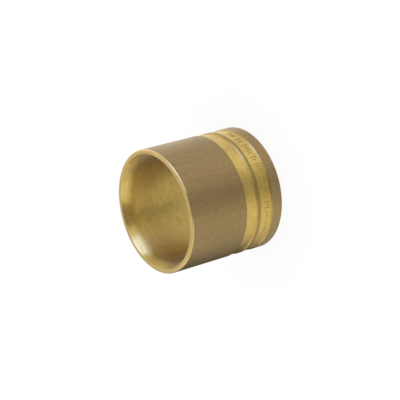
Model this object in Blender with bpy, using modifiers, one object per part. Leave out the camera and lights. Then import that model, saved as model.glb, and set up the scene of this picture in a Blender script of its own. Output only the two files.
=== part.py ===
"""Turned brass press sleeve for a 40 mm plastic pipe.

The sleeve is one ring. It stands on its rear end with its mouth up: the origin is the centre of
the rear face and +Z is the axis, towards the mouth. From the mouth down, the outside has a plain
body, a plain groove, a ridge, a groove that carries the rolled marks, and a collar. The inside is
a straight bore that opens to the mouth in a lead-in cone, and the mouth's outer edge is rounded.
"""

import math

import bpy

MM = 0.001

# Bore, wall and length
LENGTH = 41.4 * MM
BORE_DIAMETER = 40.7 * MM
WALL = 3.05 * MM

# Bands on the outside, from the rear face up; the collar and the ridge include their flanks
COLLAR_WIDTH = 4.9 * MM
MARKED_GROOVE_WIDTH = 5.05 * MM
RIDGE_WIDTH = 1.65 * MM
PLAIN_GROOVE_WIDTH = 4.95 * MM

# Section of a groove
MARKED_GROOVE_DEPTH = 0.45 * MM
PLAIN_GROOVE_DEPTH = 0.45 * MM
LOWER_FLANK_LENGTH = 0.45 * MM
TOOL_NOSE_RADIUS = 0.2 * MM
GROOVE_EDGE_BREAK = 0.1 * MM

# Lead-in at the mouth
MOUTH_WALL = 1.6 * MM
LEAD_IN_LENGTH = 4.0 * MM
LEAD_IN_BLEND_RADIUS = 9.0 * MM
MOUTH_INNER_BREAK = 0.1 * MM

# Edges of the two ends
MOUTH_OUTER_ROUND = 0.65 * MM
REAR_OUTER_CHAMFER = 0.15 * MM
REAR_BORE_CHAMFER = 0.5 * MM

# Radii that follow from the bore and the walls
BORE_RADIUS = BORE_DIAMETER / 2
OUTER_RADIUS = BORE_RADIUS + WALL
MOUTH_RADIUS = OUTER_RADIUS - MOUTH_WALL

# Facets
RING_STEPS = 112
NOSE_STEPS = 3
ROUND_STEPS = 6
BLEND_STEPS = 8
MERGE_DISTANCE = 0.001 * MM
SHARP_ANGLE = math.radians(28.0)

# Finishes: linear colour, metallic and roughness
DRAWN_SKIN = {"colour": (0.29, 0.21, 0.10, 1.0), "metallic": 1.0, "roughness": 0.42}
TURNED_BRASS = {"colour": (0.60, 0.43, 0.15, 1.0), "metallic": 1.0, "roughness": 0.30}

COLLECTION_NAME = "press_sleeve"
SLEEVE_NAME = "press_sleeve"


def clear_scene():
    """Take every object out of the scene."""
    for existing in list(bpy.data.objects):
        bpy.data.objects.remove(existing, do_unlink=True)


def make_material(name, finish):
    """Return a Principled material with the finish's colour, metallic value and roughness."""
    material = bpy.data.materials.new(name)
    material.use_nodes = True
    shader = material.node_tree.nodes["Principled BSDF"]
    shader.inputs["Base Color"].default_value = finish["colour"]
    shader.inputs["Metallic"].default_value = finish["metallic"]
    shader.inputs["Roughness"].default_value = finish["roughness"]
    material.diffuse_color = finish["colour"]
    return material


def arc(centre, radius, start, end, steps):
    """Return the points of an arc in the (radius, height) plane, both ends included."""
    points = []
    for step in range(steps + 1):
        angle = start + (end - start) * step / steps
        x = centre[0] + radius * math.cos(angle)
        z = centre[1] + radius * math.sin(angle)
        points.append((x, z))
    return points


def groove(top, width, depth):
    """Return the section of one groove, from its upper edge down to the end of its lower flank.

    The upper wall is square, with its edge broken by a small chamfer. The lower wall is a flank
    that slants out to the skin, below the foot of the groove. The tool's nose leaves its radius
    where the floor meets both.
    """
    floor = OUTER_RADIUS - depth
    foot = top - width
    edge = GROOVE_EDGE_BREAK
    nose = min(TOOL_NOSE_RADIUS, depth - edge)
    slant = math.atan2(depth, LOWER_FLANK_LENGTH)
    tangent = nose * math.tan(slant / 2)
    points = [(OUTER_RADIUS, top + edge), (OUTER_RADIUS - edge, top)]
    points += arc((floor + nose, top - nose), nose, math.pi / 2, math.pi, NOSE_STEPS)
    points += arc((floor + nose, foot + tangent), nose, math.pi, math.pi + slant, NOSE_STEPS)
    points.append((OUTER_RADIUS, foot - LOWER_FLANK_LENGTH))
    return points


def outside():
    """Return the outer side of the section, from the mouth face down to the rear face."""
    marked_top = COLLAR_WIDTH + MARKED_GROOVE_WIDTH
    plain_top = marked_top + RIDGE_WIDTH + PLAIN_GROOVE_WIDTH
    round_centre = (OUTER_RADIUS - MOUTH_OUTER_ROUND, LENGTH - MOUTH_OUTER_ROUND)
    points = arc(round_centre, MOUTH_OUTER_ROUND, math.pi / 2, 0.0, ROUND_STEPS)
    points += groove(plain_top, PLAIN_GROOVE_WIDTH, PLAIN_GROOVE_DEPTH)
    points += groove(marked_top, MARKED_GROOVE_WIDTH, MARKED_GROOVE_DEPTH)
    points += [(OUTER_RADIUS, REAR_OUTER_CHAMFER), (OUTER_RADIUS - REAR_OUTER_CHAMFER, 0.0)]
    return points


def lead_in():
    """Return the lead-in from the bore up to the mouth face.

    The cone starts where the straight bore ends, and a large arc blends the two.
    """
    cone_rise = MOUTH_RADIUS - BORE_RADIUS
    cone_foot = LENGTH - LEAD_IN_LENGTH
    cone_angle = math.atan2(cone_rise, LEAD_IN_LENGTH)
    straight_cone = math.hypot(cone_rise, LEAD_IN_LENGTH) - MOUTH_INNER_BREAK / math.cos(cone_angle)
    blend = min(LEAD_IN_BLEND_RADIUS, straight_cone / math.tan(cone_angle / 2))
    tangent = blend * math.tan(cone_angle / 2)
    centre = (BORE_RADIUS + blend, cone_foot - tangent)
    points = arc(centre, blend, math.pi, math.pi - cone_angle, BLEND_STEPS)
    edge = MOUTH_INNER_BREAK
    points.append((MOUTH_RADIUS - edge * math.tan(cone_angle), LENGTH - edge))
    points.append((MOUTH_RADIUS + edge, LENGTH))
    return points


def inside():
    """Return the inner side of the section, from the rear face up to the mouth face."""
    points = [(BORE_RADIUS + REAR_BORE_CHAMFER, 0.0), (BORE_RADIUS, REAR_BORE_CHAMFER)]
    points += lead_in()
    return points


def section_mesh():
    """Return the closed section of the ring as a mesh of edges at +X."""
    points = outside() + inside()
    vertices = [(x, 0.0, z) for x, z in points]
    edges = [(index, (index + 1) % len(points)) for index in range(len(points))]
    mesh = bpy.data.meshes.new("sleeve_section")
    mesh.from_pydata(vertices, edges, [])
    return mesh


def turned_mesh(section):
    """Return the section turned once round the Z axis as a closed mesh."""
    blank = bpy.data.objects.new("sleeve_blank", section)
    bpy.context.scene.collection.objects.link(blank)
    screw = blank.modifiers.new("turning", "SCREW")
    screw.axis = "Z"
    screw.angle = 2 * math.pi
    screw.steps = RING_STEPS
    screw.render_steps = RING_STEPS
    screw.use_merge_vertices = True
    screw.merge_threshold = MERGE_DISTANCE
    depsgraph = bpy.context.evaluated_depsgraph_get()
    mesh = bpy.data.meshes.new_from_object(blank.evaluated_get(depsgraph))
    bpy.data.objects.remove(blank, do_unlink=True)
    return mesh


def is_drawn(polygon):
    """Tell whether a face belongs to the tube's drawn skin, which the tool has not cut."""
    reach = math.hypot(polygon.center.x, polygon.center.y)
    skin = OUTER_RADIUS * math.cos(math.pi / RING_STEPS)
    return reach > skin - MERGE_DISTANCE


def build_sleeve(collection):
    """Build the sleeve as one closed ring and dress its drawn and its turned faces."""
    mesh = turned_mesh(section_mesh())
    mesh.name = SLEEVE_NAME
    mesh.materials.append(make_material("turned_brass", TURNED_BRASS))
    mesh.materials.append(make_material("drawn_skin", DRAWN_SKIN))
    for polygon in mesh.polygons:
        polygon.material_index = int(is_drawn(polygon))
    mesh.shade_smooth()
    mesh.set_sharp_from_angle(angle=SHARP_ANGLE)
    sleeve = bpy.data.objects.new(SLEEVE_NAME, mesh)
    collection.objects.link(sleeve)
    return sleeve


def main():
    """Build the press sleeve in its own collection."""
    clear_scene()
    collection = bpy.data.collections.new(COLLECTION_NAME)
    bpy.context.scene.collection.children.link(collection)
    build_sleeve(collection)


main()
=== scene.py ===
"""Looks of the turned brass press sleeve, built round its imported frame.

The sleeve stands on its rear end with its mouth up, and +Z is its axis. Directions round it are
given as an azimuth, in degrees from +X towards +Y, and an elevation above the floor.
"""

import logging
import math
from collections.abc import Callable
from dataclasses import dataclass, field
from enum import Enum

import bmesh
import bpy
from mathutils import Matrix, Vector


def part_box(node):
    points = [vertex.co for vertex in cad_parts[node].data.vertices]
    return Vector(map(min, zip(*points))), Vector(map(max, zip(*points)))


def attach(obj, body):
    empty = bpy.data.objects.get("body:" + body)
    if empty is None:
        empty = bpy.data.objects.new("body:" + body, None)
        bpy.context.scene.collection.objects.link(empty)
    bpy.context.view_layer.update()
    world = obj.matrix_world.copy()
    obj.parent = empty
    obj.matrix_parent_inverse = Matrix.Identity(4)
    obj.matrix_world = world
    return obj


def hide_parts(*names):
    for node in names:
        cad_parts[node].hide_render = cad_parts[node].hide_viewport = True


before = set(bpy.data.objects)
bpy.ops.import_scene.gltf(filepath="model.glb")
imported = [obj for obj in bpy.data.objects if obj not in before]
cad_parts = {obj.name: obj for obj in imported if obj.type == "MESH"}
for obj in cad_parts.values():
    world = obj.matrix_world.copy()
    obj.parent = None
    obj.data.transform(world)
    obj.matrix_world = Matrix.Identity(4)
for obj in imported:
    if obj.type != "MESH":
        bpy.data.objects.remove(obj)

MM = 0.001
NODE = "press_sleeve"
BODY = "root"

log = logging.getLogger("press_sleeve_scene")

Colour = tuple[float, float, float, float]
PlaceTest = Callable[[Vector], bool]
Socket = bpy.types.NodeSocket
Value = Socket | tuple[float, ...] | float

WHITE: Colour = (1.0, 1.0, 1.0, 1.0)
BLACK: Colour = (0.0, 0.0, 0.0, 1.0)

# The turn of the grain for tool lines along the axis and for lines round it
ALONG_AXIS = 0.0
ROUND_AXIS = 0.25

# Finer octaves of a noise pattern, the strength of each beside the one before it, and the
# range that the pattern mostly keeps to
NOISE_OCTAVES = 3.0
NOISE_FALL = 0.55
NOISE_LOW = 0.3
NOISE_HIGH = 0.7

# Shares of the finer and the coarser of two patterns in a relief
FINE_SHARE = 0.6
COARSE_SHARE = 0.4

# How far a corner may lie from the place that it is picked by
SLACK = 0.01 * MM


def tone(red: int, green: int, blue: int) -> Colour:
    """Turn a colour written as it shows on a screen, 0 to 255, into scene-linear values.

    Args:
        red: the red share.
        green: the green share.
        blue: the blue share.

    Returns:
        The linear colour with an alpha of one.
    """
    linear = []
    for part in (red, green, blue):
        share = part / 255
        linear.append(share / 12.92 if share <= 0.04045 else ((share + 0.055) / 1.055) ** 2.4)
    return (*linear, 1.0)


def direction(azimuth: float, elevation: float) -> Vector:
    """Return the unit vector that points from the sleeve in a direction given in degrees."""
    turn, rise = math.radians(azimuth), math.radians(elevation)
    return Vector((math.cos(turn) * math.cos(rise), math.sin(turn) * math.cos(rise), math.sin(rise)))


class Zone(Enum):
    """Surfaces of the sleeve that have a finish of their own, in the order of their slots."""

    SKIN = 0
    GROOVE = 1
    END = 2
    INSIDE = 3
    TICK = 4
    DOT = 5
    EDGE = 6
    FLANK = 7
    RIDGE = 8


class NodeBoard:
    """One node tree, with short ways to add nodes and join them."""

    def __init__(self, tree: bpy.types.NodeTree) -> None:
        """Take a node tree."""
        self.tree = tree

    def add(
        self, kind: str, inputs: dict[str | int, Value] | None = None, **settings: object
    ) -> bpy.types.Node:
        """Add a node.

        Args:
            kind: the node's type, as Blender names it.
            inputs: what goes into the node, by the inputs' names or numbers.
            **settings: properties of the node and their values.

        Returns:
            The new node.
        """
        node = self.tree.nodes.new(kind)
        for name, value in settings.items():
            setattr(node, name, value)
        for place, source in (inputs or {}).items():
            self.join(source, node.inputs[place])
        return node

    def join(self, source: Value, target: Socket) -> None:
        """Give an input its value.

        Args:
            source: the socket to link to the input, or an even value.
            target: the input.
        """
        if isinstance(source, Socket):
            self.tree.links.new(source, target)
        else:
            target.default_value = source

    def calculate(self, operation: str, *operands: Value) -> Socket:
        """Return what one operation makes of some numbers.

        Args:
            operation: the operation, as Blender names it.
            *operands: the numbers, each even or from a socket.

        Returns:
            The socket with the result.
        """
        inputs = dict(enumerate(operands))
        return self.add("ShaderNodeMath", inputs, operation=operation).outputs["Value"]

    def place(self) -> Socket:
        """Return the piece's own coordinates, in metres."""
        return self.add("ShaderNodeTexCoord").outputs["Object"]

    def component(self, vector: Socket, axis: str) -> Socket:
        """Return a vector's X, Y or Z."""
        return self.add("ShaderNodeSeparateXYZ", {"Vector": vector}).outputs[axis]

    def length(self, vector: Socket) -> Socket:
        """Return a vector's length."""
        return self.add("ShaderNodeVectorMath", {0: vector}, operation="LENGTH").outputs["Value"]

    def coordinates(self, scale: tuple[float, float, float]) -> Socket:
        """Return the piece's own coordinates, in metres, times a scale on each axis.

        Args:
            scale: how many pattern units go into a metre, along X, Y and Z.

        Returns:
            The socket with the scaled coordinates.
        """
        inputs = {"Vector": self.place(), "Scale": scale}
        return self.add("ShaderNodeMapping", inputs).outputs["Vector"]

    def noise(self, vector: Socket) -> Socket:
        """Return a noise pattern, about 0.5 on average.

        Args:
            vector: the coordinates, with one feature of the pattern to a unit.

        Returns:
            The socket with the pattern.
        """
        inputs = {"Vector": vector, "Scale": 1.0, "Detail": NOISE_OCTAVES, "Roughness": NOISE_FALL}
        return self.add("ShaderNodeTexNoise", inputs, noise_dimensions="3D").outputs["Fac"]

    def span(self, value: Socket, low: float, high: float, start: float, end: float) -> Socket:
        """Return a value stretched from one range to another and kept inside the second.

        Args:
            value: the socket to read.
            low: what the first range starts at.
            high: what the first range ends at.
            start: what low becomes.
            end: what high becomes.

        Returns:
            The socket with the stretched value.
        """
        inputs = {"Value": value, "From Min": low, "From Max": high, "To Min": start, "To Max": end}
        return self.add("ShaderNodeMapRange", inputs, clamp=True).outputs["Result"]

    def sum_of(self, *weighted: tuple[Socket, float]) -> Socket:
        """Return a weighted sum.

        Args:
            *weighted: each value with its weight.

        Returns:
            The socket with the sum.
        """
        total = 0.0
        for value, weight in weighted:
            total = self.calculate("MULTIPLY_ADD", value, weight, total)
        return total

    def ramp(self, value: Socket, stops: list[tuple[float, Colour]]) -> Socket:
        """Return a colour read from a ramp of stops.

        Args:
            value: the socket that runs along the ramp.
            stops: each stop's place, 0 to 1, and its colour.

        Returns:
            The socket with the colour.
        """
        node = self.add("ShaderNodeValToRGB", {"Fac": value})
        elements = node.color_ramp.elements
        while len(elements) > 1:
            elements.remove(elements[-1])
        elements[0].position, elements[0].color = stops[0]
        for position, colour in stops[1:]:
            elements.new(position).color = colour
        return node.outputs["Color"]

    def mix(self, factor: Socket, under: Socket, over: Colour | Socket) -> Socket:
        """Return a colour with another one laid over it by a factor.

        Args:
            factor: how much of the upper colour shows, 0 to 1.
            under: the lower colour.
            over: the upper colour, even or from a socket.

        Returns:
            The socket with the mixed colour.
        """
        inputs = {"Factor": factor, "A": under, "B": over}
        return self.add("ShaderNodeMix", inputs, data_type="RGBA").outputs["Result"]

    def seen_directly(self) -> Socket:
        """Tell the camera's own, glossy and transmitted rays from the others.

        Returns:
            A socket that is 1 for those rays and 0 for the light that falls on things.
        """
        path = self.add("ShaderNodeLightPath")
        seen = path.outputs["Is Camera Ray"]
        for kind in ("Is Glossy Ray", "Is Transmission Ray"):
            seen = self.calculate("MAXIMUM", seen, path.outputs[kind])
        return seen


class MaterialBoard(NodeBoard):
    """The nodes of one new material, with short ways to set its shader."""

    def __init__(self, name: str) -> None:
        """Make the material and find its shader.

        Args:
            name: what the material is called.
        """
        self.material = bpy.data.materials.new(name)
        self.material.use_nodes = True
        super().__init__(self.material.node_tree)
        self.shader = self.tree.nodes["Principled BSDF"]

    def give(self, name: str, value: Value) -> None:
        """Give one of the shader's inputs its value."""
        self.join(value, self.shader.inputs[name])

    def metal(self, colour: Socket, pattern: Socket, smooth: float, rough: float) -> None:
        """Make the surface a bare metal.

        Args:
            colour: the metal's colour.
            pattern: the noise that the roughness follows.
            smooth: the roughness where the noise is low.
            rough: the roughness where the noise is high.
        """
        self.give("Base Color", colour)
        self.give("Metallic", 1.0)
        self.give("Roughness", self.span(pattern, NOISE_LOW, NOISE_HIGH, smooth, rough))

    def relief(self, height: Socket, depth: float) -> None:
        """Give the surface a fine relief.

        Args:
            height: the pattern, 0 to 1.
            depth: how deep the pattern is, in metres.
        """
        bump = self.add("ShaderNodeBump", {"Height": height, "Distance": depth, "Strength": 1.0})
        self.give("Normal", bump.outputs["Normal"])

    def grain(self, amount: float, turn: float) -> None:
        """Spread the reflections across fine tool lines.

        Args:
            amount: the anisotropy, 0 to 1.
            turn: ALONG_AXIS or ROUND_AXIS, the way that the lines run.
        """
        tangent = self.add("ShaderNodeTangent", direction_type="RADIAL", axis="Z")
        self.give("Tangent", tangent.outputs["Tangent"])
        self.give("Anisotropic", amount)
        self.give("Anisotropic Rotation", turn)

    def film(self, weight: float, haze: float) -> None:
        """Lay a thin clear film of cutting oil and a little dry haze over the metal.

        Args:
            weight: how much of the film there is, 0 to 1.
            haze: how much of the haze there is, 0 to 1.
        """
        self.give("Coat Weight", weight)
        self.give("Coat Roughness", 0.35)
        self.give("Coat IOR", 1.5)
        self.give("Sheen Weight", haze)
        self.give("Sheen Roughness", 0.7)

    def matt(self, colour: Colour) -> None:
        """Make the surface one even colour, with no gloss."""
        self.give("Base Color", colour)
        self.give("Specular IOR Level", 0.0)

    def glow(self, colour: Value, strength: Value) -> None:
        """Let the surface glow by itself."""
        self.give("Emission Color", colour)
        self.give("Emission Strength", strength)


@dataclass(frozen=True)
class Tones:
    """Three shades of one metal, which a fine pattern moves between."""

    dark: Colour
    middle: Colour
    pale: Colour
    swing: float = 0.14

    def colour(self, board: NodeBoard, pattern: Socket) -> Socket:
        """Return the shade that a noise pattern picks.

        Args:
            board: the material's board.
            pattern: the noise, which is dark a swing below 0.5 and pale a swing above it.

        Returns:
            The socket with the shade.
        """
        stops = [(0.5 - self.swing, self.dark), (0.5, self.middle), (0.5 + self.swing, self.pale)]
        return board.ramp(pattern, stops)


@dataclass(frozen=True)
class DrawnSkin:
    """The tube's drawn outside: dull brown brass with fine streaks along the axis."""

    name: str = "drawn_skin"
    tones: Tones = Tones(tone(133, 112, 70), tone(151, 129, 85), tone(168, 146, 101))
    ruddy: Colour = tone(156, 127, 91)
    nick: Colour = tone(205, 186, 140)
    streak_width: float = 0.3 * MM
    streak_length: float = 14.0 * MM
    streak_weight: float = 0.27
    hair_width: float = 0.2 * MM
    hair_length: float = 1.5 * MM
    hair_weight: float = 0.47
    cloud: float = 5.0 * MM
    cloud_weight: float = 0.02
    speck: float = 0.45 * MM
    speck_weight: float = 0.24
    stain: float = 9.0 * MM
    stain_start: float = 0.42
    stain_full: float = 0.66
    stain_strength: float = 0.42
    smooth: float = 0.36
    rough: float = 0.48
    spread: float = 0.5
    relief_depth: float = 0.006 * MM
    nick_space: float = 1.9 * MM
    nick_space_along: float = 3.4 * MM
    nick_size: float = 0.07
    nick_edge: float = 0.02
    nick_share: float = 0.12
    nick_strength: float = 0.6

    def material(self) -> bpy.types.Material:
        """Build the skin's material.

        Returns:
            The new material.
        """
        board = MaterialBoard(self.name)
        streak = self._stretched(board, self.streak_width, self.streak_length)
        hair = self._stretched(board, self.hair_width, self.hair_length)
        cloud = self._stretched(board, self.cloud, self.cloud)
        speck = self._stretched(board, self.speck, self.speck)
        stain = self._stretched(board, self.stain, self.stain)
        pattern = board.sum_of(
            (streak, self.streak_weight),
            (hair, self.hair_weight),
            (cloud, self.cloud_weight),
            (speck, self.speck_weight),
        )
        colour = self.tones.colour(board, pattern)
        share = board.span(stain, self.stain_start, self.stain_full, 0.0, self.stain_strength)
        colour = board.mix(share, colour, self.ruddy)
        colour = board.mix(self._nicks(board), colour, self.nick)
        board.metal(colour, hair, self.smooth, self.rough)
        board.grain(self.spread, ALONG_AXIS)
        board.relief(board.sum_of((streak, COARSE_SHARE), (hair, FINE_SHARE)), self.relief_depth)
        return board.material

    def _stretched(self, board: NodeBoard, width: float, length: float) -> Socket:
        """Return a noise with features of a width across and a length along the axis."""
        return board.noise(board.coordinates((1 / width, 1 / width, 1 / length)))

    def _nicks(self, board: NodeBoard) -> Socket:
        """Scatter the few small bright nicks that the skin has, one to some of the cells.

        Args:
            board: the material's board.

        Returns:
            A socket that is the nicks' strength inside them and 0 elsewhere.
        """
        across, along = 1 / self.nick_space, 1 / self.nick_space_along
        grid = {"Vector": board.coordinates((across, across, along)), "Scale": 1.0}
        cells = board.add("ShaderNodeTexVoronoi", grid, feature="F1")
        core, rim = self.nick_size - self.nick_edge, self.nick_size + self.nick_edge
        near = board.span(cells.outputs["Distance"], core, rim, 1.0, 0.0)
        parts = board.add("ShaderNodeSeparateColor", {"Color": cells.outputs["Color"]})
        least, most = 1.0 - self.nick_share - self.nick_edge, 1.0 - self.nick_share + self.nick_edge
        chosen = board.span(parts.outputs["Red"], least, most, 0.0, self.nick_strength)
        return board.calculate("MULTIPLY", near, chosen)


@dataclass(frozen=True)
class TurnedFinish:
    """A surface cut on the lathe: bright brass with fine lines round the axis."""

    name: str
    tones: Tones
    roughness: float = 0.38
    spread: float = 0.2
    # Painted shade: deep in the bore the colour goes over to these darker tones
    deep_shade_tones: Tones | None = None
    deep_shade_range: tuple[float, float] = (0.0, 0.0)
    film: float = 0.2
    haze: float = 0.0
    pitch: float = 0.16 * MM
    line_weight: float = 0.35
    wave: float = 0.9 * MM
    wave_weight: float = 0.3
    cloud: float = 5.0 * MM
    cloud_weight: float = 0.35
    round_length: float = 14.0 * MM
    relief_depth: float = 0.004 * MM
    rough_change: float = 0.04
    facing: bool = False

    def material(self) -> bpy.types.Material:
        """Build the turned surface's material.

        Returns:
            The new material.
        """
        board = MaterialBoard(self.name)
        line = board.noise(self._across(board, self.pitch))
        wave = board.noise(self._across(board, self.wave))
        cloud = board.noise(board.coordinates((1 / self.cloud,) * 3))
        pattern = board.sum_of(
            (line, self.line_weight), (wave, self.wave_weight), (cloud, self.cloud_weight)
        )
        colour = self.tones.colour(board, pattern)
        # Painted shade: the colour darkens towards the deep tones deeper in the bore
        if self.deep_shade_tones:
            height = board.component(board.place(), "Z")
            depth = board.span(height, *self.deep_shade_range, 1.0, 0.0)
            colour = board.mix(depth, colour, self.deep_shade_tones.colour(board, pattern))
        least, most = self.roughness - self.rough_change, self.roughness + self.rough_change
        board.metal(colour, line, least, most)
        board.film(self.film, self.haze)
        board.grain(self.spread, ROUND_AXIS)
        board.relief(board.sum_of((line, FINE_SHARE), (wave, COARSE_SHARE)), self.relief_depth)
        return board.material

    def _across(self, board: NodeBoard, step: float) -> Socket:
        """Return coordinates whose pattern changes fast across the tool's lines.

        Args:
            board: the material's board.
            step: the size of the pattern across the lines, in metres.

        Returns:
            The socket with the coordinates. A wall's lines change with the height, and an end
            face's lines change with the distance from the axis.
        """
        slow = 1 / self.round_length
        if not self.facing:
            return board.coordinates((slow, slow, 1 / step))
        from_axis = board.length(board.coordinates((1.0, 1.0, 0.0)))
        along = board.coordinates((slow, slow, slow))
        merged = {
            "X": board.component(along, "X"),
            "Y": board.component(along, "Y"),
            "Z": board.calculate("DIVIDE", from_axis, step),
        }
        return board.add("ShaderNodeCombineXYZ", merged).outputs["Vector"]


def deselect_all() -> None:
    """Deselect every object, so that operators act on the next one alone."""
    bpy.ops.object.select_all(action="DESELECT")


def settled(name: str) -> bpy.types.Object:
    """Settle the primitive that was just added: its place goes into its mesh.

    Args:
        name: what the piece is called.

    Returns:
        The piece, with its object at the origin.
    """
    piece = bpy.context.view_layer.objects.active
    piece.name = name
    bpy.ops.object.transform_apply(location=True, rotation=True, scale=True)
    return piece


class Workpiece:
    """One mesh on the bench, selected by place and shaped with edit-mode operators."""

    def __init__(self, piece: bpy.types.Object) -> None:
        """Take a mesh object."""
        self.piece = piece

    def open(self) -> None:
        """Enter edit mode with edges as what is selected."""
        bpy.context.view_layer.objects.active = self.piece
        bpy.ops.object.mode_set(mode="EDIT")
        bpy.ops.mesh.select_mode(type="EDGE")

    def close(self) -> None:
        """Leave edit mode."""
        bpy.ops.object.mode_set(mode="OBJECT")

    def pick_edges(self, test: PlaceTest) -> None:
        """Select some edges, and nothing else.

        Args:
            test: what both ends of an edge have to pass.
        """
        bpy.ops.mesh.select_mode(type="EDGE")
        bpy.ops.mesh.select_all(action="DESELECT")
        shape = bmesh.from_edit_mesh(self.piece.data)
        for edge in shape.edges:
            if all(test(corner.co) for corner in edge.verts):
                edge.select_set(True)
        bmesh.update_edit_mesh(self.piece.data)

    def pick_faces(self, test: PlaceTest) -> None:
        """Select some faces, and nothing else.

        Args:
            test: what the centre of a face has to pass.
        """
        bpy.ops.mesh.select_mode(type="FACE")
        bpy.ops.mesh.select_all(action="DESELECT")
        shape = bmesh.from_edit_mesh(self.piece.data)
        for face in shape.faces:
            if test(face.calc_center_median()):
                face.select_set(True)
        bmesh.update_edit_mesh(self.piece.data)

    def score(self, height: float) -> None:
        """Cut a line round the whole piece at a height."""
        bpy.ops.mesh.select_all(action="SELECT")
        bpy.ops.mesh.bisect(plane_co=(0.0, 0.0, height), plane_no=(0.0, 0.0, 1.0))

    def carry_ring(self, start: tuple[float, float], end: tuple[float, float]) -> None:
        """Extrude the selected ring to a new radius and height.

        Args:
            start: the ring's radius and height now.
            end: the radius and height that it is drawn to.
        """
        grow = end[0] / start[0]
        lift = (0.0, 0.0, end[1] - start[1])
        bpy.ops.mesh.extrude_region_move(TRANSFORM_OT_translate={"value": lift})
        bpy.ops.transform.resize(value=(grow, grow, 1.0), center_override=(0.0, 0.0, 0.0))

    def soften(self, width: float, steps: int) -> None:
        """Bevel the selected edges."""
        bpy.ops.mesh.bevel(offset_type="OFFSET", offset=width, segments=steps, affect="EDGES")


def reach(point: Vector) -> float:
    """Return a point's distance from the sleeve's axis."""
    return math.hypot(point.x, point.y)


def on_ring(radius: float, height: float) -> PlaceTest:
    """Make the test that picks one turned edge.

    Args:
        radius: the edge's distance from the axis.
        height: the edge's height.

    Returns:
        A test that the points on that circle pass.
    """

    def test(point: Vector) -> bool:
        """Tell whether a point lies on the circle."""
        return abs(reach(point) - radius) < SLACK and abs(point.z - height) < SLACK

    return test


@dataclass(frozen=True)
class RolledMarks:
    """The row of marks rolled into one groove: plain ticks in groups, then a line of dots.

    Azimuths run downwards along the row.
    """

    middle_height: float
    floor_radius: float
    tick_height: float = 2.6 * MM
    tick_width: float = 0.32 * MM
    flare_across: float = 1.7
    flare_along: float = 1.08
    proud: float = 0.3 * MM
    depth: float = 0.16 * MM
    first_tick: float = 64.0
    tick_step: float = 2.6
    groups: tuple[int, ...] = (4, 3, 5, 2, 4, 3, 4, 3)
    lengths: tuple[float, ...] = (1.0, 0.55, 0.8)
    dot_radius: float = 0.28 * MM
    dot_rise: float = 1 / 3
    dots_start: float = -27.7
    first_dot: float = -29.7
    dot_count: int = 11
    dot_step: float = 2.97

    def cutter(self) -> bpy.types.Object:
        """Model one tick and one dot, copy them round the groove and join the copies.

        Returns:
            One object that holds every mark's cutting shape.
        """
        tick = self._tick()
        dot = self._dot()
        marks = []
        azimuth = self.first_tick
        for count in self.groups:
            for place in range(count):
                length = self.lengths[place % len(self.lengths)]
                marks.append(self._copy(tick, azimuth, length))
                azimuth -= self.tick_step
            azimuth -= self.tick_step
        for place in range(self.dot_count):
            marks.append(self._copy(dot, self.first_dot - place * self.dot_step, 1.0))
        for master in (tick, dot):
            bpy.data.objects.remove(master, do_unlink=True)
        deselect_all()
        for mark in marks:
            mark.select_set(True)
        bpy.context.view_layer.objects.active = marks[0]
        bpy.ops.object.join()
        return bpy.context.view_layer.objects.active

    def _tick(self) -> bpy.types.Object:
        """Model one tick, a short bar with sloping sides, on the +X side of the groove.

        Returns:
            The bar, which reaches into the floor by the marks' depth and stands proud of it.
        """
        deselect_all()
        middle = self.floor_radius + (self.proud - self.depth) / 2
        bpy.ops.mesh.primitive_cube_add(
            size=1.0,
            location=(middle, 0.0, self.middle_height),
            scale=(self.proud + self.depth, self.tick_width, self.tick_height),
        )
        work = Workpiece(settled("tick_cutter"))
        work.open()
        work.pick_faces(lambda centre: centre.x > self.floor_radius + self.proud / 2)
        bpy.ops.transform.resize(value=(1.0, self.flare_across, self.flare_along))
        work.close()
        return work.piece

    def _dot(self) -> bpy.types.Object:
        """Model one dot, a small round pit, on the +X side of the groove.

        Returns:
            The ball that presses the pit, with its centre above the floor.
        """
        deselect_all()
        middle = self.floor_radius + self.dot_rise * self.dot_radius
        bpy.ops.mesh.primitive_ico_sphere_add(
            subdivisions=2, radius=self.dot_radius, location=(middle, 0.0, self.middle_height)
        )
        return settled("dot_cutter")

    def _copy(self, master: bpy.types.Object, azimuth: float, length: float) -> bpy.types.Object:
        """Copy a mark to another place.

        Args:
            master: the mark that is copied.
            azimuth: where the copy goes.
            length: the copy's share of the master's height.

        Returns:
            The copy, with a mesh of its own.
        """
        mark = master.copy()
        mark.data = master.data.copy()
        centred = Matrix.Translation((0.0, 0.0, -self.middle_height))
        shortened = Matrix.Diagonal((1.0, 1.0, length, 1.0))
        turned = Matrix.Rotation(math.radians(azimuth), 4, "Z")
        mark.data.transform(centred.inverted() @ turned @ shortened @ centred)
        bpy.context.scene.collection.objects.link(mark)
        return mark


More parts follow.
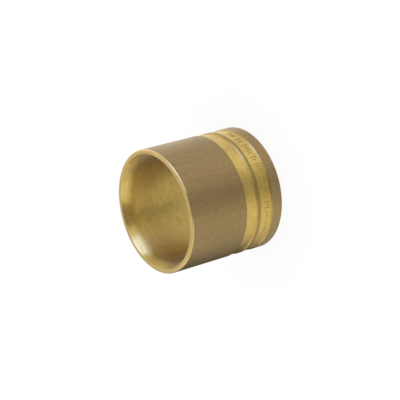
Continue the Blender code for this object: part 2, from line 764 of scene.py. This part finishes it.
@dataclass
class TurnedSleeve:
    """The sleeve as one fine ring, with its grooves, lead-in, edge breaks and rolled marks."""

    wall: float = 3.05 * MM
    mouth_wall: float = 1.6 * MM
    collar_width: float = 4.9 * MM
    marked_width: float = 5.05 * MM
    ridge_width: float = 1.65 * MM
    plain_width: float = 4.95 * MM
    groove_depth: float = 0.45 * MM
    flank_length: float = 0.45 * MM
    nose_radius: float = 0.2 * MM
    edge_break: float = 0.1 * MM
    flank_break: float = 0.06 * MM
    lead_in_length: float = 4.0 * MM
    blend_radius: float = 9.0 * MM
    blend_steps: int = 14
    mouth_round: float = 0.65 * MM
    mouth_break: float = 0.1 * MM
    rear_chamfer: float = 0.15 * MM
    rear_bore_chamfer: float = 0.5 * MM
    mark_drop: float = 0.62 * MM
    segments: int = 384
    round_steps: int = 8
    nose_steps: int = 3
    break_steps: int = 2
    chamfer_steps: int = 1
    smooth_angle: float = 35.0
    flat_normal: float = 0.9
    burnished_share: float = 0.9
    outer_radius: float = field(init=False)
    length: float = field(init=False)
    piece: bpy.types.Object | None = field(init=False, default=None)

    def __post_init__(self) -> None:
        """Read the outer radius and the length from the frame."""
        low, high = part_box(NODE)
        self.outer_radius = high[0]
        self.length = high[2]

    @property
    def bore_radius(self) -> float:
        """The radius of the straight bore."""
        return self.outer_radius - self.wall

    @property
    def mouth_radius(self) -> float:
        """The radius of the lead-in at the mouth face."""
        return self.outer_radius - self.mouth_wall

    @property
    def floor_radius(self) -> float:
        """The radius of both grooves' floors."""
        return self.outer_radius - self.groove_depth

    @property
    def burnished_radius(self) -> float:
        """The radius at which the mouth's burnished edge begins."""
        return self.outer_radius - self.burnished_share * self.mouth_round

    @property
    def cone_angle(self) -> float:
        """The angle between the lead-in and the axis."""
        return math.atan2(self.mouth_radius - self.bore_radius, self.lead_in_length)

    @property
    def blend_foot(self) -> float:
        """The height at which the straight bore starts to open."""
        tangent = self.blend_radius * math.tan(self.cone_angle / 2)
        return self.length - self.lead_in_length - tangent

    @property
    def grooves(self) -> list[tuple[float, float]]:
        """The two grooves, first the marked one and then the plain one.

        Returns:
            The lower and upper height of each groove's floor.
        """
        marked = (self.collar_width, self.collar_width + self.marked_width)
        plain_foot = marked[1] + self.ridge_width
        return [marked, (plain_foot, plain_foot + self.plain_width)]

    def build(self) -> bpy.types.Object:
        """Model the ring, cut its marks and dress it.

        Returns:
            The finished piece.
        """
        work = Workpiece(self._blank())
        self.piece = work.piece
        work.open()
        self._cut_grooves(work)
        self._bore_inside(work)
        self._break_edges(work)
        work.close()
        self._roll_marks()
        self._dress()
        self._smooth()
        return self.piece

    def _blank(self) -> bpy.types.Object:
        """Add the tube that the sleeve is turned from.

        Returns:
            The outer wall alone, open at both ends.
        """
        deselect_all()
        bpy.ops.mesh.primitive_cylinder_add(
            vertices=self.segments,
            radius=self.outer_radius,
            depth=self.length,
            end_fill_type="NOTHING",
            location=(0.0, 0.0, self.length / 2),
        )
        return settled("turned_sleeve")

    def _cut_grooves(self, work: Workpiece) -> None:
        """Score both edges of each groove, sink the band between them and slant its lower wall.

        Args:
            work: the blank, in edit mode.
        """
        sink = self.floor_radius / self.outer_radius
        for foot, top in self.grooves:
            work.score(foot)
            work.score(top)
            work.pick_faces(lambda centre, foot=foot, top=top: foot < centre.z < top)
            bpy.ops.mesh.extrude_region_move()
            bpy.ops.transform.resize(value=(sink, sink, 1.0), center_override=(0.0, 0.0, 0.0))
            work.pick_edges(on_ring(self.outer_radius, foot))
            bpy.ops.transform.translate(value=(0.0, 0.0, -self.flank_length))

    def _inside_rings(self) -> list[tuple[float, float]]:
        """Work out the rings of the lead-in and the bore.

        Returns:
            The radius and height of each ring, from the mouth down.
        """
        rings = [(self.mouth_radius, self.length)]
        for step in range(self.blend_steps + 1):
            turn = self.cone_angle * (1 - step / self.blend_steps)
            radius = self.bore_radius + self.blend_radius * (1 - math.cos(turn))
            rings.append((radius, self.blend_foot + self.blend_radius * math.sin(turn)))
        rings.append((self.bore_radius, 0.0))
        return rings

    def _bore_inside(self, work: Workpiece) -> None:
        """Draw the mouth face, the lead-in and the bore from the top edge, then close the foot.

        Args:
            work: the grooved blank, in edit mode.
        """
        work.pick_edges(on_ring(self.outer_radius, self.length))
        last = (self.outer_radius, self.length)
        for ring in self._inside_rings():
            work.carry_ring(last, ring)
            last = ring
        work.pick_edges(lambda point: abs(point.z) < SLACK)
        bpy.ops.mesh.bridge_edge_loops()

    def _break_edges(self, work: Workpiece) -> None:
        """Round or chamfer every turned edge of the ring.

        Args:
            work: the ring, in edit mode.
        """
        breaks = [
            (self.outer_radius, self.length, self.mouth_round, self.round_steps),
            (self.mouth_radius, self.length, self.mouth_break, self.break_steps),
            (self.outer_radius, 0.0, self.rear_chamfer, self.chamfer_steps),
            (self.bore_radius, 0.0, self.rear_bore_chamfer, self.chamfer_steps),
        ]
        slant = math.atan2(self.groove_depth, self.flank_length)
        tangent = self.nose_radius * math.tan(slant / 2)
        for foot, top in self.grooves:
            flank_end = foot - self.flank_length
            breaks.append((self.outer_radius, top, self.edge_break, self.break_steps))
            breaks.append((self.floor_radius, top, self.nose_radius, self.nose_steps))
            breaks.append((self.floor_radius, foot, tangent, self.nose_steps))
            breaks.append((self.outer_radius, flank_end, self.flank_break, self.break_steps))
        for radius, height, width, steps in breaks:
            work.pick_edges(on_ring(radius, height))
            work.soften(width, steps)

    def _roll_marks(self) -> None:
        """Sink the rolled marks into the floor of the marked groove."""
        foot, top = self.grooves[0]
        middle = (foot + top) / 2 - self.mark_drop
        marks = RolledMarks(middle_height=middle, floor_radius=self.floor_radius)
        cutter = marks.cutter()
        pressed = self.piece.modifiers.new("rolled_marks", "BOOLEAN")
        pressed.operation = "DIFFERENCE"
        pressed.object = cutter
        deselect_all()
        bpy.context.view_layer.objects.active = self.piece
        bpy.ops.object.modifier_apply(modifier=pressed.name)
        bpy.data.objects.remove(cutter, do_unlink=True)

    def _zone(self, polygon: bpy.types.MeshPolygon) -> Zone:
        """Tell which finish a face has, from its place and its normal.

        Args:
            polygon: the face.

        Returns:
            The zone that the face belongs to.
        """
        distance = reach(polygon.center)
        height = polygon.center.z
        (marked_foot, marked_top), (plain_foot, _) = self.grooves
        lies_flat = abs(polygon.normal.z) > self.flat_normal
        if distance < self.mouth_radius - self.mouth_break / 2 and not lies_flat:
            return Zone.INSIDE
        if marked_foot < height < marked_top and distance < self.floor_radius - SLACK:
            azimuth = math.degrees(math.atan2(polygon.center.y, polygon.center.x))
            return Zone.DOT if azimuth < RolledMarks.dots_start else Zone.TICK
        if height > self.length - self.mouth_round and distance > self.burnished_radius:
            return Zone.EDGE
        if distance > self.outer_radius - 2 * SLACK:
            return Zone.RIDGE if marked_top < height < plain_foot else Zone.SKIN
        for foot, top in self.grooves:
            if foot - self.flank_length < height < foot:
                return Zone.FLANK
            if foot < height < top:
                return Zone.GROOVE
        return Zone.END

    def _dress(self) -> None:
        """Give each face the finish of its zone."""
        finishes = sleeve_finishes(self.blend_foot)
        mesh = self.piece.data
        mesh.materials.clear()
        for zone in Zone:
            mesh.materials.append(finishes[zone].material())
        for polygon in mesh.polygons:
            polygon.material_index = self._zone(polygon).value

    def _smooth(self) -> None:
        """Shade the ring smooth, with its wide faces keeping their true direction."""
        deselect_all()
        self.piece.select_set(True)
        bpy.context.view_layer.objects.active = self.piece
        bpy.ops.object.shade_smooth_by_angle(angle=math.radians(self.smooth_angle))
        weighted = self.piece.modifiers.new("true_faces", "WEIGHTED_NORMAL")
        weighted.keep_sharp = True
        bpy.ops.object.modifier_apply(modifier=weighted.name)


def sleeve_finishes(blend_foot: float) -> dict[Zone, DrawnSkin | TurnedFinish]:
    """Return the finish of each zone of the sleeve.

    Args:
        blend_foot: the height at which the straight bore starts to open.

    Returns:
        A finish for every zone.
    """
    groove = TurnedFinish(
        name="turned_groove",
        tones=Tones(tone(186, 154, 77), tone(199, 168, 88), tone(212, 183, 102)),
        spread=0.5,
        wave=0.5 * MM,
        round_length=3.0 * MM,
        cloud=4.0 * MM,
    )
    end = TurnedFinish(
        name="faced_end",
        tones=Tones(tone(184, 155, 90), tone(195, 167, 104), tone(206, 180, 119)),
        roughness=0.46,
        spread=0.3,
        facing=True,
    )
    inside = TurnedFinish(
        name="turned_inside",
        tones=Tones(tone(209, 181, 95), tone(220, 193, 106), tone(231, 205, 119)),
        roughness=0.34,
        spread=0.85,
        # Painted shade: darker tones deep in the bore
        deep_shade_tones=Tones(tone(185, 158, 83), tone(199, 173, 96), tone(213, 189, 109)),
        deep_shade_range=(blend_foot - 5.0 * MM, blend_foot + 1.5 * MM),
        relief_depth=0.0028 * MM,
        film=0.3,
        haze=0.15,
        round_length=7.0 * MM,
        wave=1.4 * MM,
        cloud=2.6 * MM,
    )
    tick = TurnedFinish(
        name="rolled_tick",
        tones=Tones(tone(164, 132, 62), tone(184, 152, 76), tone(218, 190, 118)),
    )
    dot = TurnedFinish(
        name="rolled_dot",
        tones=Tones(tone(112, 76, 40), tone(128, 90, 46), tone(146, 108, 58)),
        roughness=0.45,
        film=0.0,
    )
    # Painted shade: the sloping flank is darker than the groove floor, which dims its highlight
    flank = TurnedFinish(
        name="flank_painted_shade",
        tones=Tones(tone(161, 132, 64), tone(173, 145, 74), tone(186, 159, 88)),
        spread=0.5,
    )
    ridge = DrawnSkin(
        name="rubbed_ridge",
        tones=Tones(tone(136, 113, 60), tone(154, 130, 73), tone(172, 148, 90)),
    )
    edge = TurnedFinish(
        name="burnished_edge",
        tones=Tones(tone(186, 157, 94), tone(197, 169, 108), tone(208, 182, 123)),
        roughness=0.31,
        film=0.4,
    )
    return {
        Zone.SKIN: DrawnSkin(),
        Zone.GROOVE: groove,
        Zone.END: end,
        Zone.INSIDE: inside,
        Zone.TICK: tick,
        Zone.DOT: dot,
        Zone.EDGE: edge,
        Zone.FLANK: flank,
        Zone.RIDGE: ridge,
    }


@dataclass(frozen=True)
class Floor:
    """The plain pale floor, which shows white and keeps the sleeve's soft shadow."""

    half_width: float = 2.0
    drop: float = 0.02 * MM
    shade: float = 0.22
    glow: float = 0.84

    def build(self) -> None:
        """Add the floor just under the sleeve."""
        deselect_all()
        bpy.ops.mesh.primitive_plane_add(size=2 * self.half_width, location=(0.0, 0.0, -self.drop))
        floor = settled("floor")
        floor.data.materials.append(self._material())

    def _material(self) -> bpy.types.Material:
        """Build a matt pale surface with a glow that only direct and mirrored rays see.

        Returns:
            The new material.
        """
        board = MaterialBoard("pale_floor")
        board.matt((self.shade, self.shade, self.shade, 1.0))
        board.give("Roughness", 1.0)
        board.glow(WHITE, board.calculate("MULTIPLY", board.seen_directly(), self.glow))
        return board.material


@dataclass(frozen=True)
class GradedRing:
    """One ring of the apron, as bright at each azimuth as its bands say.

    It takes over from the ring inside it between two distances from the axis. A band is an
    azimuth in degrees and the brightness there, and between two bands it changes evenly.
    """

    fade_start: float
    fade_end: float
    bands: tuple[tuple[float, float], ...]

    def grey(self, board: NodeBoard, turn: Socket) -> Socket:
        """Return the ring's brightness.

        Args:
            board: the card's board.
            turn: the azimuth, from 0 at -180 degrees to 1 at 180 degrees.

        Returns:
            The socket with the grey that the bands give.
        """
        stops = []
        for angle, level in self.bands:
            stops.append((angle / 360 + 0.5, (level, level, level, 1.0)))
        return board.ramp(turn, stops)


BORE_DISC = GradedRing(
    fade_start=0.0,
    fade_end=0.0,
    bands=(
        (-120.0, 0.6), (-103.0, 0.85), (-88.0, 1.15), (-75.0, 1.4), (-60.0, 1.35), (-45.0, 1.15),
        (-30.0, 0.95), (-15.0, 0.65), (0.0, 0.56), (14.0, 0.72), (31.0, 0.85), (45.0, 0.9),
        (70.0, 0.92), (93.0, 0.98), (110.0, 1.06),
    ),
)
FOOT_RING = GradedRing(
    fade_start=20.6 * MM,
    fade_end=23.0 * MM,
    bands=(
        (-180.0, 0.5), (-155.0, 0.3), (-132.0, 0.03), (-114.0, 0.03), (-102.0, 0.14), (-90.0, 0.36),
        (-78.0, 0.62), (-64.0, 0.86), (-54.0, 0.97), (-34.0, 1.1), (-13.5, 0.8), (-3.0, 0.7),
        (7.0, 0.76), (17.0, 0.96), (27.0, 1.06), (50.0, 0.97), (77.0, 1.22), (97.0, 1.26),
        (110.0, 1.14), (125.0, 0.9), (140.0, 0.5), (180.0, 0.5),
    ),
)
GROOVE_RING = GradedRing(
    fade_start=28.0 * MM,
    fade_end=33.0 * MM,
    bands=(
        (-180.0, 0.5), (-158.0, 0.2), (-138.0, 0.02), (-114.0, 0.02), (-103.0, 0.06), (-91.0, 0.3),
        (-79.0, 0.66), (-66.0, 0.98), (-50.0, 1.16), (-34.0, 1.1), (-18.0, 0.85), (-6.0, 0.53),
        (6.0, 0.54), (18.0, 0.9), (32.0, 1.12), (46.0, 1.04), (59.0, 0.8), (70.0, 0.98),
        (84.0, 1.16), (97.0, 1.14), (110.0, 1.16), (126.0, 1.14), (140.0, 0.8), (155.0, 0.5),
        (180.0, 0.5),
    ),
)
BODY_RING = GradedRing(
    fade_start=38.0 * MM,
    fade_end=46.0 * MM,
    bands=(
        (-180.0, 0.5), (-162.0, 0.2), (-145.0, 0.02), (-128.0, 0.02), (-116.0, 0.08), (-104.0, 0.28),
        (-92.0, 0.58), (-80.0, 0.78), (-64.0, 0.92), (-48.0, 1.0), (-34.0, 1.04), (-22.0, 0.92),
        (-11.0, 0.54), (4.0, 0.5), (16.0, 0.84), (28.0, 1.02), (40.0, 1.1), (58.0, 1.02),
        (68.0, 0.94), (83.0, 0.98), (97.0, 1.14), (112.0, 1.34), (127.0, 1.6), (140.0, 1.15),
        (152.0, 0.5), (180.0, 0.5),
    ),
)
OUTER_RING = GradedRing(
    fade_start=66.0 * MM,
    fade_end=80.0 * MM,
    bands=(
        (-180.0, 0.8), (-165.0, 0.35), (-148.0, 0.02), (-134.0, 0.03), (-122.0, 0.08), (-110.0, 0.28),
        (-98.0, 0.7), (-86.0, 1.0), (-74.0, 1.12), (-52.0, 1.14), (-34.0, 1.04), (-22.0, 0.92),
        (-11.0, 0.54), (4.0, 0.5), (16.0, 0.84), (28.0, 1.02), (40.0, 1.1), (58.0, 1.02),
        (68.0, 0.94), (83.0, 0.98), (97.0, 1.1), (112.0, 1.32), (127.0, 1.5), (140.0, 1.35),
        (152.0, 1.15), (180.0, 0.8),
    ),
)


@dataclass(frozen=True)
class Apron:
    """A graded card that lies round the sleeve's foot and shows only in the metal.

    Its brightness changes with the azimuth, so that the round wall mirrors light and dark bands.
    """

    radius: float = 0.3
    white_start: float = 0.15
    rise: float = 0.02 * MM
    segments: int = 96
    rings: tuple[GradedRing, ...] = (BORE_DISC, FOOT_RING, GROOVE_RING, BODY_RING, OUTER_RING)

    def build(self) -> None:
        """Add the card just above the floor."""
        deselect_all()
        bpy.ops.mesh.primitive_circle_add(
            vertices=self.segments,
            radius=self.radius,
            fill_type="TRIFAN",
            location=(0.0, 0.0, self.rise),
        )
        card = settled("graded_apron")
        card.data.materials.append(self._material())
        show_in_metal_only(card)

    def _material(self) -> bpy.types.Material:
        """Build a glow that follows the rings and fades to white away from the sleeve.

        Returns:
            The new material.
        """
        board = MaterialBoard("graded_card")
        board.matt(BLACK)
        place = board.place()
        azimuth = board.calculate(
            "ARCTAN2", board.component(place, "Y"), board.component(place, "X")
        )
        turn = board.span(azimuth, -math.pi, math.pi, 0.0, 1.0)
        away = board.length(place)
        colour = self.rings[0].grey(board, turn)
        for ring in self.rings[1:]:
            share = board.span(away, ring.fade_start, ring.fade_end, 0.0, 1.0)
            colour = board.mix(share, colour, ring.grey(board, turn))
        share = board.span(away, self.white_start, self.radius, 0.0, 1.0)
        board.glow(board.mix(share, colour, WHITE), 1.0)
        return board.material


@dataclass(frozen=True)
class DarkCard:
    """A dark card that stands near the sleeve and shows only in the metal.

    Its half angle is half of what it spans round the sleeve's axis.
    """

    name: str
    azimuth: float
    distance: float
    half_angle: float
    height: float
    colour: Colour

    def build(self) -> None:
        """Add the card, upright and facing the sleeve."""
        width = 2 * self.distance * math.tan(math.radians(self.half_angle))
        deselect_all()
        bpy.ops.mesh.primitive_plane_add(size=1.0)
        card = settled(self.name)
        upright = Matrix.Rotation(math.radians(90.0), 4, "Y")
        sized = Matrix.Diagonal((1.0, width, self.height, 1.0))
        out = Matrix.Translation((self.distance, 0.0, self.height / 2))
        turned = Matrix.Rotation(math.radians(self.azimuth), 4, "Z")
        card.data.transform(turned @ out @ sized @ upright)
        card.data.materials.append(self._material())
        show_in_metal_only(card)

    def _material(self) -> bpy.types.Material:
        """Build an even dark colour that needs no lamp.

        Returns:
            The new material.
        """
        board = MaterialBoard("dark_card")
        board.matt(BLACK)
        board.glow(self.colour, 1.0)
        return board.material


def show_in_metal_only(card: bpy.types.Object) -> None:
    """Hide a card from everything but mirrored rays.

    Args:
        card: the card, which also casts no shadow.
    """
    card.visible_camera = False
    card.visible_diffuse = False
    card.visible_transmission = False
    card.visible_volume_scatter = False
    card.visible_shadow = False


@dataclass(frozen=True)
class Sky:
    """The plain white surroundings above the floor."""

    fill: float = 0.8

    def build(self) -> None:
        """Make the world: white where it is seen, and a softer fill for the light it gives."""
        world = bpy.data.worlds.new("white_studio")
        bpy.context.scene.world = world
        world.use_nodes = True
        board = NodeBoard(world.node_tree)
        background = board.tree.nodes["Background"]
        seen = board.seen_directly()
        strength = board.calculate("MULTIPLY_ADD", seen, 1.0 - self.fill, self.fill)
        board.join(WHITE, background.inputs["Color"])
        board.join(strength, background.inputs["Strength"])


@dataclass(frozen=True)
class Softbox:
    """A rectangular soft lamp that faces the sleeve and shows only in mirrored rays."""

    name: str
    azimuth: float
    elevation: float
    distance: float
    width: float
    radiance: float
    height: float = 0.4
    colour: tuple[float, float, float] = (1.0, 1.0, 1.0)

    def build(self, target: Vector) -> None:
        """Add the lamp, with the power that gives its radiance over its area.

        Args:
            target: the point that the lamp faces.
        """
        data = bpy.data.lights.new(self.name, "AREA")
        data.shape = "RECTANGLE"
        data.size = self.width
        data.size_y = self.height
        data.energy = self.radiance * math.pi * self.width * self.height
        data.color = self.colour
        lamp = bpy.data.objects.new(self.name, data)
        bpy.context.scene.collection.objects.link(lamp)
        lamp.location = target + direction(self.azimuth, self.elevation) * self.distance
        lamp.rotation_euler = (target - lamp.location).to_track_quat("-Z", "Y").to_euler()
        lamp.visible_camera = False
        lamp.visible_diffuse = False


@dataclass(frozen=True)
class PhotoCamera:
    """The camera that took the picture: a long lens from the mouth's side, rolled over."""

    aim: tuple[float, float, float] = (9.594 * MM, -0.243 * MM, 27.036 * MM)
    azimuth: float = 0.0
    elevation: float = 34.2
    roll: float = -105.64
    distance: float = 578.8 * MM
    lens: float = 142.1
    sensor: float = 36.0
    nearest: float = 0.01
    farthest: float = 20.0

    def build(self) -> None:
        """Add the camera and make it the scene's own."""
        data = bpy.data.cameras.new("photo_camera")
        data.lens = self.lens
        data.sensor_width = self.sensor
        data.clip_start = self.nearest
        data.clip_end = self.farthest
        camera = bpy.data.objects.new("photo_camera", data)
        bpy.context.scene.collection.objects.link(camera)
        away = direction(self.azimuth, self.elevation)
        camera.location = Vector(self.aim) + away * self.distance
        level = (-away).to_track_quat("-Z", "Y").to_matrix()
        turned = level @ Matrix.Rotation(math.radians(self.roll), 3, "Z")
        camera.rotation_euler = turned.to_euler()
        bpy.context.scene.camera = camera


CAMERA_SIDE_CARD = DarkCard(
    name="camera_side_card",
    azimuth=-8.5,
    distance=0.2,
    half_angle=23.5,
    height=0.19,
    colour=(0.03, 0.03, 0.04, 1.0),
)
# Painted shadow: this dark card stands in for a contact shadow that the wall mirrors
LOW_SIDE_CARD = DarkCard(
    name="low_side_card",
    azimuth=-162.0,
    distance=0.11,
    half_angle=41.0,
    height=0.055,
    colour=(0.02, 0.02, 0.02, 1.0),
)
KEY_SOFTBOX = Softbox(
    name="key_softbox",
    azimuth=57.0,
    elevation=17.0,
    distance=0.7,
    width=0.5,
    radiance=1.7,
    colour=(0.62, 1.02, 3.7),
)
SIDE_SOFTBOX = Softbox(
    name="side_softbox", azimuth=-86.0, elevation=15.0, distance=0.9, width=1.8, radiance=0.32
)
BACK_SOFTBOX = Softbox(
    name="back_softbox", azimuth=134.0, elevation=20.0, distance=0.8, width=0.5, radiance=0.85
)
FAR_SOFTBOX = Softbox(
    name="far_softbox", azimuth=-130.0, elevation=18.0, distance=0.8, width=0.5, radiance=0.4
)


@dataclass
class Studio:
    """Everything round the sleeve: floor, cards, sky, lamps and camera."""

    floor: Floor = Floor()
    apron: Apron = Apron()
    dark_cards: tuple[DarkCard, ...] = (CAMERA_SIDE_CARD, LOW_SIDE_CARD)
    sky: Sky = Sky()
    lamps: tuple[Softbox, ...] = (KEY_SOFTBOX, SIDE_SOFTBOX, BACK_SOFTBOX, FAR_SOFTBOX)
    camera: PhotoCamera = PhotoCamera()

    def build(self, target: Vector) -> None:
        """Set up the studio.

        Args:
            target: the point that the lamps face.
        """
        self.floor.build()
        self.apron.build()
        for card in self.dark_cards:
            card.build()
        self.sky.build()
        for lamp in self.lamps:
            lamp.build(target)
        self.camera.build()
        bpy.context.scene.view_settings.view_transform = "Standard"


def main() -> None:
    """Build the sleeve and its studio."""
    logging.basicConfig(level=logging.INFO, format="%(message)s")
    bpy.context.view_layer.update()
    sleeve = TurnedSleeve()
    piece = sleeve.build()
    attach(piece, BODY)
    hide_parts(NODE)
    log.info("%s: %d faces, stands for %s", piece.name, len(piece.data.polygons), NODE)
    Studio().build(Vector((0.0, 0.0, sleeve.length / 2)))
    log.info("studio: floor, cards, sky, lamps and camera")


if __name__ == "__main__":
    main()
